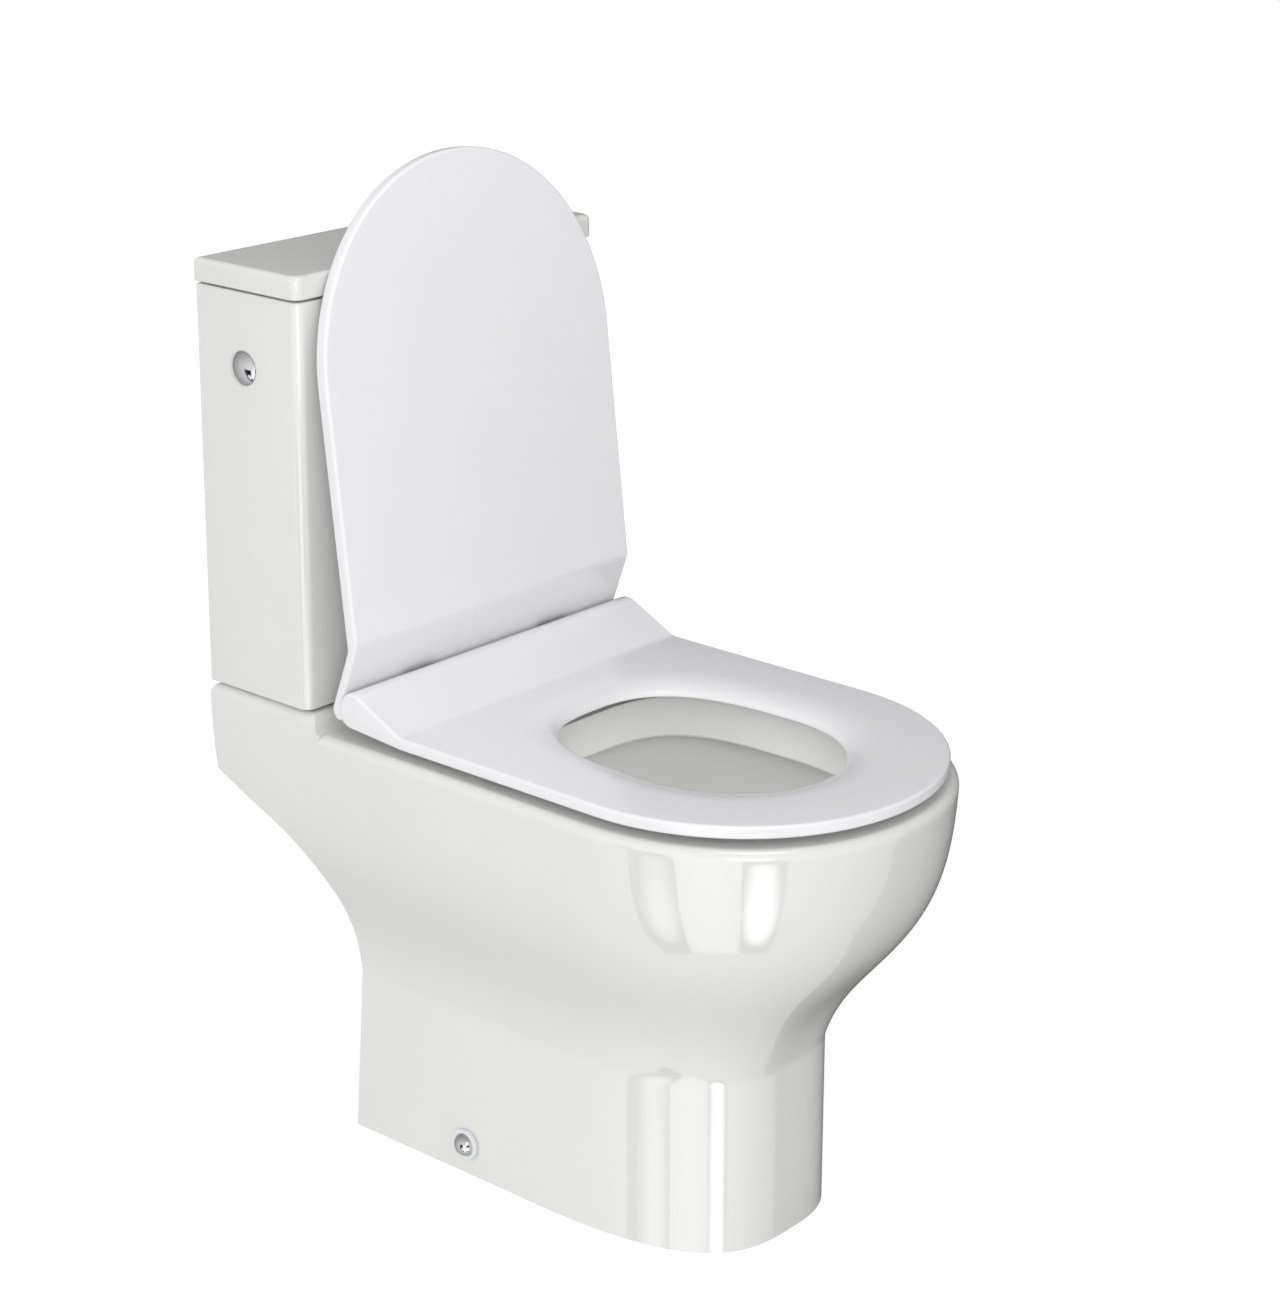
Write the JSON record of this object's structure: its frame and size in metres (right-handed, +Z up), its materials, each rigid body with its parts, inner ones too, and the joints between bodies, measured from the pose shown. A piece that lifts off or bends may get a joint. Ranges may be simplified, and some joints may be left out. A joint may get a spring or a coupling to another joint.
{
  "type": "close coupled toilet",
  "caption": "Floor-standing close coupled toilet: china pan on a waisted pedestal, china cistern on its rear shelf, hinged seat and seat lid, split flush button and cistern valves.",
  "frame": {"origin": "on the floor, on the centre line, midway between the two vertical floor screw holes in the brackets inside the pedestal", "axes": "+X to the right of a person facing the toilet, +Y back to the wall, +Z up"},
  "size_m": [0.3818, 0.612, 0.8631],
  "materials": {
    "china": "gloss glaze",
    "seat_plastic": "semi-gloss moulded",
    "chrome": "polished plate",
    "rubber": "matt",
    "valve_plastic": "moulded",
    "steel": "bright zinc or stainless"
  },
  "bodies": {
    "toilet": {"pan": "china", "cistern_tank": "china", "cistern_lid": "china", "button_housing": "chrome", "inlet_cap": "chrome", "fixing_caps": "chrome", "lid_pads": "rubber", "flush_valve_washer": "rubber", "coupling_gasket": "rubber", "coupling_rubber_washers": "rubber", "fill_valve_washer": "rubber", "inlet_cap_washer": "rubber", "hinge_bushes": "rubber", "button_nut": "valve_plastic", "flush_valve_base": "valve_plastic", "flush_valve_nut": "valve_plastic", "flush_valve_cage": "valve_plastic", "fill_valve_body": "valve_plastic", "inlet_cap_nut": "valve_plastic", "fixing_collars": "valve_plastic", "floor_brackets": "valve_plastic", "fill_valve_nut": "valve_plastic", "coupling_bolts": "steel", "coupling_metal_washers": "steel", "coupling_wing_nuts": "steel", "lever_pin": "steel", "hinge_posts": "steel", "hinge_pins": "steel", "hinge_bolts": "steel", "hinge_nuts": "steel", "fixing_screws": "steel"},
    "seat": {"seat_ring": "seat_plastic", "seat_buffers": "rubber", "seat_damper": "valve_plastic", "lid_damper": "valve_plastic"},
    "lid": {"seat_lid": "seat_plastic"},
    "full_button": {"full_flush_button": "chrome", "full_push_rod": "valve_plastic"},
    "half_button": {"half_flush_button": "chrome", "half_push_rod": "valve_plastic"},
    "flush_valve_lift": {"overflow_tube": "valve_plastic", "valve_seal": "rubber"},
    "fill_float": {"float": "valve_plastic"},
    "fill_lever": {"float_lever": "valve_plastic"}
  },
  "joints": [
    {"name": "seat_lid_hinge", "type": "hinge", "parent": "toilet", "child": "lid", "pos_m": [0, 0.0622, 0.4274], "axis": [-1, 0, 0], "range_deg": [-95.94, 0]},
    {"name": "seat_hinge", "type": "hinge", "parent": "toilet", "child": "seat", "pos_m": [0, 0.0622, 0.4274], "axis": [-1, 0, 0], "range_deg": [0, 95]},
    {"name": "full_flush_press", "type": "slide", "parent": "toilet", "child": "full_button", "axis": [0, 0, -1], "range_m": [0, 0.006], "stiffness_N_per_m": 600, "springref_m": -0.004},
    {"name": "half_flush_press", "type": "slide", "parent": "toilet", "child": "half_button", "axis": [0, 0, -1], "range_m": [0, 0.006], "stiffness_N_per_m": 600, "springref_m": -0.004},
    {"name": "float_lift", "type": "slide", "parent": "toilet", "child": "fill_float", "axis": [0, 0, 1], "range_m": [0, 0.015]},
    {"name": "overflow_lift", "type": "slide", "parent": "toilet", "child": "flush_valve_lift", "axis": [0, 0, 1], "range_m": [0, 0.018]},
    {"name": "float_lever_hinge", "type": "hinge", "parent": "toilet", "child": "fill_lever", "pos_m": [0.132, 0.1737, 0.717], "axis": [0, 1, 0], "range_deg": [0, 30]}
  ],
  "couplings": [
    {"joint": "overflow_lift", "follows": "full_flush_press", "ratio": 3},
    {"joint": "float_lever_hinge", "follows": "float_lift", "rad_per_m": 33.5}
  ]
}
